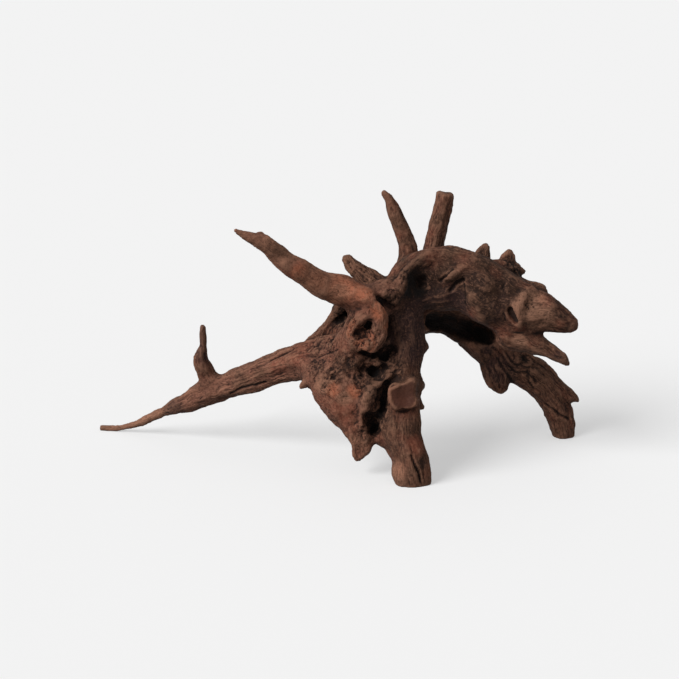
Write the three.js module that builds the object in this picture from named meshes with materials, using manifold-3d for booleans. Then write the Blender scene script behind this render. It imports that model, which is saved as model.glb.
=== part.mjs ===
// A piece of branched driftwood, about 300 mm long: an old root that stands on
// a stout front leg, a grooved back leg and the thin tip of its long left limb.
// It grew as one piece, so every limb runs smoothly into the next.
import * as THREE from 'three';
import { triTable } from 'three/addons/objects/MarchingCubes.js';
import { ImprovedNoise } from 'three/addons/math/ImprovedNoise.js';
import Module from 'manifold-3d';

// Space that holds the wood, in millimetres
const SPACE_LOW = [-165, -84, -9];
const SPACE_HIGH = [162, 46, 174];
const CELL = 1.5;
const FAR = 24;

// Working sizes, in millimetres
const RING_SPACING = 2;
const REACH = 9;
const BLEND = 5;
const HOLLOW_BLEND = 2.5;
const GROUND_CLEARANCE = 0.45;
const MIDDLE = [-1, -21];

// Surface of the wood, in millimetres
const FLUTE_COUNT = 1.5;
const FLUTE_LENGTH = 34;
const FLUTE_DEPTH = 0.16;
const LUMP_SIZE = 15;
const LUMP_HEIGHT = 1.5;

// Facets left on the finished body
const FACETS = 11600;
const EVEN_FACETS = 0.0006;

// Looks
const WOOD_COLOUR = '#5f4437';
const WOOD_ROUGHNESS = 0.88;

// Every ring is x, y, z, half width across the front view, half depth.
const LIMBS = [
  {
    name: 'front leg',
    rings: [
      [45.5, -62, -7, 9.5, 9], [44, -62, 5, 12.3, 10], [42.5, -61, 17, 10.5, 9],
      [38.5, -57, 28, 11.3, 10], [37, -53, 42, 11.5, 10], [38.5, -46, 57, 11.5, 11],
      [39, -36, 73, 12, 13], [38, -25, 88, 14, 15], [37, -18, 102, 13, 15],
    ],
  },
  {
    name: 'left lump with its lower stub',
    rings: [
      [-11, -30, 62, 13, 13], [0, -39, 57, 20, 16], [5, -46, 48, 17, 13],
      [10, -49, 36, 11, 10], [12.5, -51, 25, 6.5, 6.5], [12, -51, 14.5, 4.8, 4.8],
      [10.7, -51, 11, 2.6, 2.6],
    ],
  },
  {
    name: 'web between the lump and the front leg',
    rings: [
      [24, -40, 72, 11, 10], [24, -46, 56, 11, 8], [24, -50, 42, 9, 7],
      [24.5, -52, 29, 8, 6], [27.5, -53, 24.5, 6, 5],
    ],
  },
  {
    name: 'left flank of the front leg',
    blend: 4,
    rings: [[29.5, -51, 43, 4.5, 6], [30, -52.5, 31, 5.6, 7], [34.5, -56, 19, 5.2, 7]],
  },
  {
    name: 'side piece of the lower stub',
    blend: 2.5,
    rings: [[17, -51, 34, 4.5, 4.5], [17.3, -54, 24, 3.6, 3.6], [16.5, -54, 16.5, 2.4, 2.4]],
  },
  {
    name: 'ridge beside the front leg',
    blend: 3,
    rings: [
      [31, -49, 65, 3.5, 4], [24.3, -54, 62.6, 3.6, 4], [19.5, -56.5, 58, 3.8, 4.5],
      [17.1, -57.5, 51, 3.9, 4.5], [15.9, -57.5, 43.7, 3.9, 4.5], [13.8, -56.5, 35.4, 3.5, 4],
    ],
  },
  {
    name: 'spur at the left of the lump',
    blend: 3,
    rings: [[-14, -36, 59, 6, 5], [-23.5, -38, 53.5, 2.6, 2.4]],
  },
  {
    name: 'knot lump',
    rings: [
      [8, -40, 76, 13, 13], [14, -45, 91, 11, 11], [19, -43, 103, 10, 10],
      [27, -34, 111, 8.5, 10],
    ],
  },
  {
    name: 'raised rim round the knot hole',
    blend: 3,
    closed: true,
    rings: [
      [14.5, -55.5, 101.5, 3.2, 3.4], [21, -54.5, 94, 3.4, 4], [18.5, -54, 84.5, 3.4, 4],
      [10.5, -54, 83.5, 3.2, 3.6], [7, -54.5, 93, 3.2, 3.4],
    ],
  },
  {
    name: 'ridge from the horn past the knot hole',
    blend: 4,
    rings: [
      [5, -49, 117, 4, 4], [15.7, -51.5, 113.5, 4.4, 4.4], [22.5, -52.5, 107, 4.2, 4.4],
      [25.4, -53, 99, 3.8, 4], [24.3, -54, 90.5, 3.4, 4], [19.5, -55, 83.5, 3, 3.5],
    ],
  },
  {
    name: 'horn',
    rings: [
      [27, -34, 108, 9, 10], [15, -40, 109, 9.5, 9], [3, -46, 115.3, 9.8, 8],
      [-13, -53, 123.6, 7.9, 6.5], [-29, -60, 136.5, 6.2, 5.5], [-41, -65, 147.2, 4.9, 4],
      [-50, -68, 153, 3, 3], [-60, -71, 158.5, 1.3, 1.3],
    ],
  },
  {
    name: 'upper lobe of the horn',
    blend: 2,
    rings: [[-34, -63, 144, 3.5, 3.5], [-41, -64, 151, 2.3, 2.5], [-46, -64, 154.5, 1.6, 1.7]],
  },
  {
    name: 'left trunk',
    rings: [
      [20, -35, 74, 13, 13], [-3, -30, 69.5, 14, 12], [-18, -22, 65, 13.5, 10],
      [-37, -14, 57, 10.4, 8.5], [-56, -6, 47.3, 9.3, 8], [-73, 0, 39.8, 8.3, 7],
      [-86, 4, 34.8, 8, 6.5], [-96, 8, 28.3, 6.6, 5], [-105, 12, 23.5, 5, 4.5],
      [-113, 15, 18.3, 3.8, 3.5], [-123, 19, 12.2, 3, 2.8], [-132, 23, 6.9, 2.8, 2.7],
      [-141, 26, 3.8, 2.5, 2.4], [-150, 29, 1.5, 2.4, 2.3], [-156, 30, 1.2, 2.2, 2.1],
    ],
  },
  {
    name: 'upright prong of the left trunk',
    blend: 4,
    rings: [
      [-80.5, 3, 41, 7, 6], [-84.5, 2, 51, 5.8, 5], [-87, 1, 59, 4.8, 4.2],
      [-86, 0, 68, 3.4, 3.2], [-85.5, -1, 76, 2.7, 2.6], [-85.5, -1, 79.5, 2.3, 2.3],
    ],
  },
  {
    name: 'strut from the trunk to the horn',
    blend: 3,
    rings: [
      [-16, -14, 73, 6, 5], [-8, -11, 82, 4, 3.7], [-2, -13, 92, 3.4, 3.2],
      [3, -20, 102, 4.3, 4.3], [11, -30, 109, 5, 5],
    ],
  },
  {
    name: 'splinter in the gap behind the strut',
    blend: 2,
    rings: [[-4, -8, 83, 3, 3], [1, -10, 88.5, 2, 2.6], [6, -12, 91.5, 2.4, 3]],
  },
  {
    name: 'web behind the strut',
    blend: 3,
    rings: [
      [-4, -8, 78, 5, 4], [8, -8, 85, 7, 4], [16, -12, 96, 7, 5], [22, -18, 104, 6, 6],
    ],
  },
  {
    name: 'stub behind the horn',
    blend: 4,
    rings: [
      [36, -15, 107, 6, 7], [25, -14, 109, 7, 6.5], [17, -12, 114, 6.2, 5.5],
      [9, -10, 121, 4.6, 4], [5, -9, 125.5, 3, 2.8],
    ],
  },
  {
    name: 'slender prong',
    rings: [
      [39.5, -10, 103, 8, 8], [41.8, -5, 116, 7.3, 7], [42.6, -2, 127, 6.2, 6],
      [39.5, 0, 140, 5.1, 5], [34.6, 0, 152, 4.3, 4.2], [29.8, 0, 162, 3.1, 3],
      [27.2, 0, 165, 2.2, 2.2],
    ],
  },
  {
    name: 'broken prong',
    cut: true,
    rings: [
      [58, -10, 110, 9, 9], [58, -1, 120, 7.5, 7.5], [59, 4, 131, 6.4, 6.2],
      [61.3, 5, 143, 5.8, 5.8], [64, 6, 154, 5.7, 5.6], [65.2, 6, 164, 5.7, 5.2],
    ],
  },
  {
    name: 'arch limb with its blunt snout',
    rings: [
      [35, -20, 103, 13, 16], [49, -20, 115, 18, 14.5], [64, -21, 117, 20, 14],
      [79, -23, 115, 18.8, 13.5], [95, -26, 106.5, 18, 13], [109, -29, 98.5, 16, 12],
      [122, -32, 99, 11.6, 10.5], [132, -34, 95.2, 8.2, 8], [139, -35, 92, 5.2, 6],
    ],
  },
  {
    name: 'lower jaw of the snout',
    blend: 4,
    rings: [
      [105, -30, 83.5, 9.5, 8.5], [118, -33, 79.5, 6.3, 6.5], [128, -34, 74.5, 5, 5.5],
      [136, -35, 69.5, 4, 4.3], [139, -35, 66.5, 2.7, 3],
    ],
  },
  {
    name: 'crest on the arch',
    rings: [
      [88, -15, 112.5, 10.5, 8], [99, -11, 116, 9.5, 8], [107, -13, 110.5, 7, 9],
      [120.5, -20, 108, 6, 8],
    ],
  },
  {
    name: 'saddle of the crest',
    blend: 4,
    rings: [[88, -13, 119, 6, 6], [97, -11, 121, 5, 5.5]],
  },
  {
    name: 'spur on the crest',
    blend: 3,
    rings: [[103, -7, 120, 6.5, 5.5], [104.5, -5, 126, 5, 4], [104, -5, 129.5, 2.6, 2.8]],
  },
  {
    name: 'tooth on the crest',
    blend: 3,
    rings: [[108, -8, 119, 5, 5], [113, -7, 117.5, 2.6, 2.6]],
  },
  {
    name: 'stub on top of the arch',
    blend: 4,
    rings: [[84, -4, 118, 8, 7], [88, 1, 125, 5.8, 5], [90.5, 2, 130.5, 3.4, 3.5]],
  },
  {
    name: 'back leg',
    rings: [
      [50, -2, 87, 11, 11], [68.5, 4, 85.3, 11.3, 9.5], [83, 8, 77, 12.8, 9.5],
      [98.5, 10, 61.5, 13, 8.5], [113, 12, 50.5, 11.8, 8.5], [128, 14, 40.5, 11, 8],
      [137.5, 16, 28.5, 10.3, 7.5], [142.5, 18, 16, 9.5, 7], [146, 19, 4, 7.9, 6.5],
      [147.5, 20, -6, 6.5, 5.5],
    ],
  },
  {
    name: 'lobe under the back leg',
    blend: 4,
    rings: [[99.5, 8, 50, 9, 6], [101, 7, 42, 7.5, 5.5], [103.4, 7, 36.3, 4.6, 3.8]],
  },
  {
    name: 'spur behind the back leg',
    blend: 3,
    rings: [[141, 16, 32, 6, 5], [148.5, 16, 28.5, 4.2, 4], [153.8, 16, 25.6, 2, 2.2]],
  },
  {
    name: 'broken stub on the front leg',
    blend: 3,
    cut: true,
    rings: [[38.9, -49.4, 53, 8.4, 8.4], [37.7, -65, 56.5, 8.4, 8.4]],
  },
  {
    name: 'upper right corner of the broken stub',
    blend: 2,
    cut: true,
    rings: [[43.8, -48.3, 60, 4, 4], [42.6, -63.9, 63.5, 3.8, 3.8]],
  },
  {
    name: 'upper left corner of the broken stub',
    blend: 2,
    cut: true,
    rings: [[34, -48.5, 56.6, 3.8, 3.8], [32.8, -64.1, 60.1, 3.6, 3.6]],
  },
  {
    name: 'lower right corner of the broken stub',
    blend: 2,
    cut: true,
    rings: [[45, -50.6, 49.2, 3.8, 3.8], [43.8, -66.2, 52.7, 3.6, 3.6]],
  },
  {
    name: 'lower left corner of the broken stub',
    blend: 2,
    cut: true,
    rings: [[35, -50.4, 47.4, 3.8, 3.8], [33.8, -66, 50.9, 3.6, 3.6]],
  },
  {
    name: 'upper spur of the front leg',
    blend: 3,
    rings: [[44, -33, 77.5, 8, 7.5], [51, -33, 77, 3.4, 4]],
  },
  {
    name: 'middle spur of the front leg',
    blend: 3,
    rings: [[44, -44, 56, 7, 6], [49.5, -45, 56, 2.8, 3]],
  },
  {
    name: 'lower spur of the front leg',
    blend: 3,
    rings: [[44, -46, 48, 6, 5], [50.3, -47, 43, 1.9, 2]],
  },
  {
    name: 'rim of the big hollow',
    blend: 4,
    rings: [
      [28, -38, 108.5, 4.2, 4.2], [36, -39, 114, 3.6, 4.2], [40.2, -36, 123, 3.8, 4.2],
      [46, -31, 128.5, 4, 4.2], [54, -27, 131.5, 4.5, 4.8],
    ],
  },
  {
    name: 'rib right of the big hollow',
    blend: 3,
    rings: [[60, -34, 117, 2.6, 3.5], [66.5, -35.5, 121.5, 3.2, 3.6], [74, -33.5, 127, 3, 3.5]],
  },
  {
    name: 'bulge on the front of the arch',
    blend: 4,
    rings: [[79, -29, 124, 8, 8], [85.6, -33, 113, 10.5, 8.5], [88.5, -33, 101, 9.5, 8.5]],
  },
  {
    name: 'ridge across the snout',
    blend: 3,
    rings: [
      [115, -33, 112, 3.5, 4.5], [110, -38.5, 109, 3.2, 4], [107.5, -40, 102, 3.2, 4],
      [109, -39, 93, 3, 4],
    ],
  },
  {
    name: 'heart of the root at the back',
    rings: [[8, -18, 76, 15, 12], [28, -6, 76, 17, 13], [44, -1, 90, 14, 12]],
  },
];

// Hollows worn into the wood, with rings of the same kind
const HOLLOWS = [
  {
    name: 'big hollow',
    blend: 6,
    rings: [[46, -47, 124, 9, 9.5], [50.5, -40, 120, 10, 9.5], [54.5, -37, 116.5, 7.5, 7]],
  },
  {
    name: 'dark bottom of the big hollow',
    blend: 3,
    rings: [[47.5, -37, 120, 4.6, 5.5], [49.5, -29, 117.5, 3.6, 4]],
  },
  {
    name: 'knot hole',
    blend: 3.5,
    rings: [[14, -68, 97, 5, 6.8], [14.8, -60, 94, 4.6, 6.4], [15.3, -56.5, 93, 3.2, 4.8]],
  },
  {
    name: 'dark corner of the knot hole',
    rings: [[16.5, -60, 98.5, 2.2, 2.6], [18, -51, 97, 1.8, 2.2]],
  },
  {
    name: 'groove by the horn',
    blend: 3,
    rings: [[20.5, -52, 113, 1.8, 3.5], [26.3, -47, 108.3, 2.8, 5.5], [32, -42.5, 103.5, 2.2, 4]],
  },
  {
    name: 'recess under the knot',
    rings: [[14, -55, 80, 2.8, 5], [21, -51, 77.3, 3.2, 6.5], [27, -50, 76.5, 4.2, 7.5], [31, -47, 80, 3, 5]],
  },
  {
    name: 'recess beside the lump',
    rings: [
      [13, -57, 68.5, 2, 4], [17.5, -55, 67, 3.2, 6.5], [22.5, -53.5, 66.5, 4.2, 7.5],
      [28, -51, 69.5, 2.4, 5],
    ],
  },
  {
    name: 'groove beside the broken stub',
    rings: [[29, -56, 60, 1.8, 4.5], [27.2, -57, 54, 2.2, 7], [26.6, -57.5, 46, 2.2, 6.5], [25, -59, 41, 1.6, 4]],
  },
  {
    name: 'hollow between the lower stub and the front leg',
    rings: [[17, -60, 41.5, 2.6, 4.5], [19.8, -57, 36, 3.8, 8], [21.3, -55.5, 30.5, 3, 7]],
  },
  {
    name: 'plum-coloured hollow of the arch',
    blend: 5,
    rings: [[66.5, -38, 115, 3, 5], [69.5, -38.5, 108, 4.5, 6.5], [72.5, -37, 100.5, 3.5, 5.5]],
  },
  {
    name: 'slit in the snout',
    rings: [[101.4, -44, 107.5, 1.5, 4], [103, -44, 102, 2, 6], [104.3, -44, 96.5, 1.5, 4.5]],
  },
  {
    name: 'pocket under the arch',
    rings: [
      [57.5, -9, 86, 5, 8], [67.8, -5, 82.8, 6.5, 9], [77.5, -1, 78.5, 7.5, 9],
      [86.6, 3, 75, 7.5, 9], [93.2, 5, 72, 5, 6],
    ],
  },
  {
    name: 'notch in the broken prong',
    rings: [[57, 2, 168, 3, 4], [60, 5, 163, 2, 3]],
  },
];

const noise = new ImprovedNoise();

// Grid of points in space
function makeGrid(low, high, cell) {
  const count = low.map((value, axis) => Math.ceil((high[axis] - value) / cell) + 1);
  const size = count[0] * count[1] * count[2];
  return { low, cell, count, stride: [1, count[0], count[0] * count[1]], values: new Float32Array(size).fill(FAR) };
}

function gridRange(grid, axis, from, to) {
  const first = Math.floor((from - grid.low[axis]) / grid.cell);
  const last = Math.ceil((to - grid.low[axis]) / grid.cell);
  return [Math.max(1, first), Math.min(grid.count[axis] - 2, last)];
}

function eachPoint(grid, low, high, visit) {
  const [i0, i1] = gridRange(grid, 0, low[0], high[0]);
  const [j0, j1] = gridRange(grid, 1, low[1], high[1]);
  const [k0, k1] = gridRange(grid, 2, low[2], high[2]);
  for (let k = k0; k <= k1; k += 1) {
    const z = grid.low[2] + k * grid.cell;
    for (let j = j0; j <= j1; j += 1) {
      const y = grid.low[1] + j * grid.cell;
      const row = j * grid.stride[1] + k * grid.stride[2];
      for (let i = i0; i <= i1; i += 1) {
        visit(row + i, grid.low[0] + i * grid.cell, y, z);
      }
    }
  }
}

// Rings along the smooth centre-line of a limb
function ringsAlong(limb) {
  const places = limb.rings.map((ring) => new THREE.Vector3(ring[0], ring[1], ring[2]));
  const girths = limb.rings.map((ring) => new THREE.Vector3(ring[3], ring[4], 0));
  const centre = new THREE.CatmullRomCurve3(places, Boolean(limb.closed), 'centripetal');
  const girth = new THREE.CatmullRomCurve3(girths, Boolean(limb.closed), 'catmullrom', 0.3);
  const count = Math.ceil(centre.getLength() / RING_SPACING);
  const rings = [];
  for (let n = 0; n <= count; n += 1) {
    const part = n / count;
    rings.push(ringAt(centre.getPoint(part), centre.getTangent(part), girth.getPoint(part)));
  }
  if (limb.cut) {
    rings.push(ringBeyond(rings[rings.length - 1]));
  }
  return rings;
}

function ringAt(place, along, girth) {
  const level = Math.abs(along.y) > 0.9 ? new THREE.Vector3(0, 0, 1) : new THREE.Vector3(0, 1, 0);
  const deep = level.addScaledVector(along, -level.dot(along)).normalize();
  const across = new THREE.Vector3().crossVectors(along, deep);
  return { place, along, deep, across, halfWidth: girth.x, halfDepth: girth.y };
}

function ringBeyond(ring) {
  const place = ring.place.clone().addScaledVector(ring.along, ring.halfWidth * 2);
  return { ...ring, place };
}

// Distance from a point to the skin of the wood between two rings
function distanceToPiece(piece, x, y, z) {
  const { from, to, step, stepSquared } = piece;
  const dx = x - from.place.x;
  const dy = y - from.place.y;
  const dz = z - from.place.z;
  const along = (dx * step.x + dy * step.y + dz * step.z) / stepSquared;
  const part = Math.min(1, Math.max(0, along));
  const ox = dx - part * step.x;
  const oy = dy - part * step.y;
  const oz = dz - part * step.z;
  const u = ox * from.across.x + oy * from.across.y + oz * from.across.z;
  const v = ox * from.deep.x + oy * from.deep.y + oz * from.deep.z;
  const w = ox * from.along.x + oy * from.along.y + oz * from.along.z;
  const a = from.halfWidth + part * (to.halfWidth - from.halfWidth);
  const b = from.halfDepth + part * (to.halfDepth - from.halfDepth);
  const c = Math.min(a, b);
  const offset = Math.hypot(u, v, w);
  const ratio = Math.hypot(u / a, v / b, w / c);
  if (ratio < 0.05) {
    return -c;
  }
  const flute = Math.min(1, ratio) * fluteAt(piece, u / a, v / b, part, c);
  return offset * (1 - 1 / ratio) + flute;
}

// Lengthwise ridges and furrows of the grain
function fluteAt(piece, u, v, part, radius) {
  const turn = Math.hypot(u, v) + 1e-6;
  const travel = (piece.start + part * piece.length) / FLUTE_LENGTH;
  const ridge = noise.noise(u / turn * FLUTE_COUNT + piece.seed, v / turn * FLUTE_COUNT, travel);
  return ridge * radius * FLUTE_DEPTH;
}

function piecesOf(rings, seed) {
  const pieces = [];
  let start = 0;
  for (let n = 1; n < rings.length; n += 1) {
    const step = rings[n].place.clone().sub(rings[n - 1].place);
    const length = step.length();
    pieces.push({ from: rings[n - 1], to: rings[n], step, stepSquared: step.lengthSq(), start, length, seed });
    start += length;
  }
  return pieces;
}

function spreadPiece(grid, near, piece) {
  const { from, to } = piece;
  const margin = REACH + Math.max(from.halfWidth, from.halfDepth, to.halfWidth, to.halfDepth);
  const a = from.place.toArray();
  const b = to.place.toArray();
  const low = a.map((value, axis) => Math.min(value, b[axis]) - margin);
  const high = a.map((value, axis) => Math.max(value, b[axis]) + margin);
  eachPoint(grid, low, high, (at, x, y, z) => {
    const distance = distanceToPiece(piece, x, y, z);
    if (distance < near[at]) {
      near[at] = distance;
    }
  });
}

// A broken end is flat: nothing stays beyond its last ring.
function trimEnd(grid, near, ring) {
  const reach = REACH + 3 * ring.halfWidth;
  const centre = ring.place.toArray();
  const low = centre.map((value) => value - reach);
  const high = centre.map((value) => value + reach);
  eachPoint(grid, low, high, (at, x, y, z) => {
    const past = (x - centre[0]) * ring.along.x + (y - centre[1]) * ring.along.y + (z - centre[2]) * ring.along.z;
    near[at] = Math.max(near[at], past);
  });
}

function distancesTo(grid, limb, seed) {
  const near = new Float32Array(grid.values.length).fill(FAR);
  const rings = ringsAlong(limb);
  for (const piece of piecesOf(rings, seed)) {
    spreadPiece(grid, near, piece);
  }
  if (limb.cut) {
    trimEnd(grid, near, rings[rings.length - 2]);
  }
  return near;
}

// Smaller of two distances, with a fillet of the given size where they meet
function smoothLess(a, b, size) {
  const near = Math.max(0, size - Math.abs(a - b)) / size;
  return Math.min(a, b) - near * near * size / 4;
}

function joinLimb(grid, limb, seed) {
  const near = distancesTo(grid, limb, seed);
  const size = limb.blend ?? BLEND;
  for (let at = 0; at < near.length; at += 1) {
    if (near[at] < FAR) {
      grid.values[at] = smoothLess(grid.values[at], near[at], size);
    }
  }
}

function takeHollow(grid, hollow, seed) {
  const near = distancesTo(grid, hollow, seed);
  const size = hollow.blend ?? HOLLOW_BLEND;
  for (let at = 0; at < near.length; at += 1) {
    if (near[at] < FAR) {
      grid.values[at] = -smoothLess(-grid.values[at], near[at], size);
    }
  }
}

function addLumps(grid) {
  eachPoint(grid, SPACE_LOW, SPACE_HIGH, (at, x, y, z) => {
    if (Math.abs(grid.values[at]) < 6) {
      const lump = noise.noise(x / LUMP_SIZE, y / LUMP_SIZE, z / LUMP_SIZE);
      grid.values[at] += lump * LUMP_HEIGHT;
    }
  });
}

// Skin of the wood, as points and three-cornered faces
const CORNERS = [[0, 0, 0], [1, 0, 0], [1, 1, 0], [0, 1, 0], [0, 0, 1], [1, 0, 1], [1, 1, 1], [0, 1, 1]];
const EDGES = [
  [0, 1], [1, 2], [2, 3], [3, 0], [4, 5], [5, 6], [6, 7], [7, 4], [0, 4], [1, 5], [2, 6], [3, 7],
];

function skinOf(grid) {
  const skin = { points: [], faces: [], known: new Map() };
  const offsets = CORNERS.map((corner) => corner[0] + corner[1] * grid.stride[1] + corner[2] * grid.stride[2]);
  for (let k = 0; k < grid.count[2] - 1; k += 1) {
    for (let j = 0; j < grid.count[1] - 1; j += 1) {
      for (let i = 0; i < grid.count[0] - 1; i += 1) {
        addCell(grid, skin, offsets, [i, j, k]);
      }
    }
  }
  return skin;
}

function addCell(grid, skin, offsets, cell) {
  const base = cell[0] + cell[1] * grid.stride[1] + cell[2] * grid.stride[2];
  let pattern = 0;
  for (let corner = 0; corner < 8; corner += 1) {
    if (grid.values[base + offsets[corner]] < 0) {
      pattern |= 1 << corner;
    }
  }
  if (pattern === 0 || pattern === 255) {
    return;
  }
  for (let n = pattern * 16; triTable[n] !== -1; n += 3) {
    const face = [2, 1, 0].map((corner) => pointOnEdge(grid, skin, cell, EDGES[triTable[n + corner]]));
    skin.faces.push(face);
  }
}

function pointOnEdge(grid, skin, cell, edge) {
  const ends = edge.map((corner) => cell.map((value, axis) => value + CORNERS[corner][axis]));
  const nodes = ends.map((end) => end[0] + end[1] * grid.stride[1] + end[2] * grid.stride[2]);
  const key = Math.min(...nodes) * 3 + ends[0].findIndex((value, axis) => value !== ends[1][axis]);
  if (!skin.known.has(key)) {
    const [a, b] = nodes.map((node) => grid.values[node]);
    const part = Math.min(0.88, Math.max(0.12, a / (a - b)));
    skin.known.set(key, skin.points.length);
    skin.points.push(ends[0].map((value, axis) => {
      return grid.low[axis] + grid.cell * (value + part * (ends[1][axis] - value));
    }));
  }
  return skin.known.get(key);
}

// Specks and closed bubbles are dropped: the largest connected skin is the wood.
function largestSkin(skin) {
  const parent = skin.points.map((point, n) => n);
  const rootOf = (start) => {
    let n = start;
    while (parent[n] !== n) {
      parent[n] = parent[parent[n]];
      n = parent[n];
    }
    return n;
  };
  for (const [a, b, c] of skin.faces) {
    parent[rootOf(a)] = rootOf(b);
    parent[rootOf(b)] = rootOf(c);
  }
  const tally = new Map();
  for (const face of skin.faces) {
    const root = rootOf(face[0]);
    tally.set(root, (tally.get(root) ?? 0) + 1);
  }
  const [largest] = [...tally.entries()].sort((a, b) => b[1] - a[1])[0];
  return { points: skin.points, faces: skin.faces.filter((face) => rootOf(face[0]) === largest) };
}

// Error of moving a point off the planes of its faces: ten terms of a symmetric form
function planeTerms(points, face) {
  const [p, q, r] = face.map((n) => points[n]);
  const e = [q[0] - p[0], q[1] - p[1], q[2] - p[2]];
  const f = [r[0] - p[0], r[1] - p[1], r[2] - p[2]];
  const n = [e[1] * f[2] - e[2] * f[1], e[2] * f[0] - e[0] * f[2], e[0] * f[1] - e[1] * f[0]];
  const size = Math.hypot(n[0], n[1], n[2]) || 1e-12;
  const [a, b, c] = n.map((value) => value / size);
  const d = -(a * p[0] + b * p[1] + c * p[2]);
  const weight = size / 2;
  return [a * a, a * b, a * c, a * d, b * b, b * c, b * d, c * c, c * d, d * d].map((term) => term * weight);
}

function errorAt(q, x, y, z) {
  return q[0] * x * x + 2 * q[1] * x * y + 2 * q[2] * x * z + 2 * q[3] * x + q[4] * y * y
    + 2 * q[5] * y * z + 2 * q[6] * y + q[7] * z * z + 2 * q[8] * z + q[9];
}

function bestPlace(q, p, r) {
  const middle = [(p[0] + r[0]) / 2, (p[1] + r[1]) / 2, (p[2] + r[2]) / 2];
  const keep = 0.002 * (q[0] + q[4] + q[7]) + 1e-9;
  const matrix = new THREE.Matrix3().set(
    q[0] + keep, q[1], q[2],
    q[1], q[4] + keep, q[5],
    q[2], q[5], q[7] + keep,
  );
  const pull = new THREE.Vector3(
    keep * middle[0] - q[3],
    keep * middle[1] - q[6],
    keep * middle[2] - q[8],
  );
  return pull.applyMatrix3(matrix.invert()).toArray();
}

// Queue that gives the cheapest entry first
class Queue {
  constructor() {
    this.items = [];
  }

  push(item) {
    const { items } = this;
    let n = items.length;
    items.push(item);
    while (n > 0) {
      const up = (n - 1) >> 1;
      if (items[up].cost <= item.cost) break;
      items[n] = items[up];
      n = up;
    }
    items[n] = item;
  }

  pop() {
    const { items } = this;
    const top = items[0];
    const last = items.pop();
    const size = items.length;
    if (size > 0) {
      this.sink(last, size);
    }
    return top;
  }

  sink(item, size) {
    const { items } = this;
    let n = 0;
    for (let down = 1; down < size; down = 2 * n + 1) {
      if (down + 1 < size && items[down + 1].cost < items[down].cost) down += 1;
      if (items[down].cost >= item.cost) break;
      items[n] = items[down];
      n = down;
    }
    items[n] = item;
  }
}

// Fewer facets: the edge that changes the shape least is closed up, again and again.
function thinSkin(skin, wanted) {
  const state = startThinning(skin);
  let left = skin.faces.length;
  while (left > wanted && state.queue.items.length > 0) {
    const edge = state.queue.pop();
    const fresh = state.stamps[edge.a] + state.stamps[edge.b] === edge.stamp;
    if (fresh && state.alive[edge.a] && state.alive[edge.b] && mayClose(state, edge)) {
      closeEdge(state, edge);
      left -= 2;
    }
  }
  return finishThinning(state);
}

function startThinning(skin) {
  const count = skin.points.length;
  const state = {
    points: skin.points,
    faces: skin.faces,
    alive: new Uint8Array(count).fill(1),
    stamps: new Uint32Array(count),
    around: skin.points.map(() => new Set()),
    errors: skin.points.map(() => new Float64Array(10)),
    queue: new Queue(),
  };
  skin.faces.forEach((face, n) => {
    const terms = planeTerms(skin.points, face);
    for (const corner of face) {
      state.around[corner].add(n);
      terms.forEach((term, at) => { state.errors[corner][at] += term; });
    }
  });
  for (const face of skin.faces) {
    face.forEach((a, n) => {
      const b = face[(n + 1) % 3];
      if (a < b) queueEdge(state, a, b);
    });
  }
  return state;
}

function queueEdge(state, a, b) {
  const error = state.errors[a].map((term, at) => term + state.errors[b][at]);
  const p = state.points[a];
  const r = state.points[b];
  const place = bestPlace(error, p, r);
  const length = (p[0] - r[0]) ** 2 + (p[1] - r[1]) ** 2 + (p[2] - r[2]) ** 2;
  const cost = Math.max(0, errorAt(error, ...place)) + EVEN_FACETS * length * length;
  state.queue.push({ a, b, place, error, cost, stamp: state.stamps[a] + state.stamps[b] });
}

function neighboursOf(state, point) {
  const found = new Set();
  for (const n of state.around[point]) {
    for (const corner of state.faces[n]) {
      if (corner !== point) found.add(corner);
    }
  }
  return found;
}

function mayClose(state, edge) {
  const mine = neighboursOf(state, edge.a);
  const theirs = neighboursOf(state, edge.b);
  let shared = 0;
  for (const point of mine) {
    if (theirs.has(point)) shared += 1;
  }
  if (shared !== 2 || mine.size + theirs.size < 8) {
    return false;
  }
  return keepsFacing(state, edge.a, edge.b, edge.place) && keepsFacing(state, edge.b, edge.a, edge.place);
}

function keepsFacing(state, moved, other, place) {
  for (const n of state.around[moved]) {
    const face = state.faces[n];
    if (!face.includes(other)) {
      const before = facing(face.map((corner) => state.points[corner]));
      const after = facing(face.map((corner) => (corner === moved ? place : state.points[corner])));
      if (after.size < 0.02 || before.normal.dot(after.normal) < 0.35) {
        return false;
      }
    }
  }
  return true;
}

function facing([p, q, r]) {
  const e = new THREE.Vector3(q[0] - p[0], q[1] - p[1], q[2] - p[2]);
  const f = new THREE.Vector3(r[0] - p[0], r[1] - p[1], r[2] - p[2]);
  const normal = e.cross(f);
  const size = normal.length();
  return { normal: normal.divideScalar(size || 1), size };
}

function closeEdge(state, edge) {
  const { a, b } = edge;
  state.points[a] = edge.place;
  state.errors[a] = edge.error;
  state.alive[b] = 0;
  for (const n of state.around[b]) {
    const face = state.faces[n];
    if (face.includes(a)) {
      face.forEach((corner) => state.around[corner].delete(n));
      state.faces[n] = null;
    } else {
      state.faces[n] = face.map((corner) => (corner === b ? a : corner));
      state.around[a].add(n);
    }
  }
  state.stamps[a] += 1;
  for (const near of neighboursOf(state, a)) {
    queueEdge(state, Math.min(a, near), Math.max(a, near));
  }
}

function finishThinning(state) {
  const number = new Map();
  const points = [];
  const faces = state.faces.filter((face) => face !== null).map((face) => face.map((corner) => {
    if (!number.has(corner)) {
      number.set(corner, points.length);
      points.push(state.points[corner]);
    }
    return number.get(corner);
  }));
  return { points, faces };
}

// Flat feet: everything below the ground is taken off.
function clearOfGround(points) {
  return points.map(([x, y, z]) => (Math.abs(z) < GROUND_CLEARANCE ? [x, y, -GROUND_CLEARANCE] : [x, y, z]));
}

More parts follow.
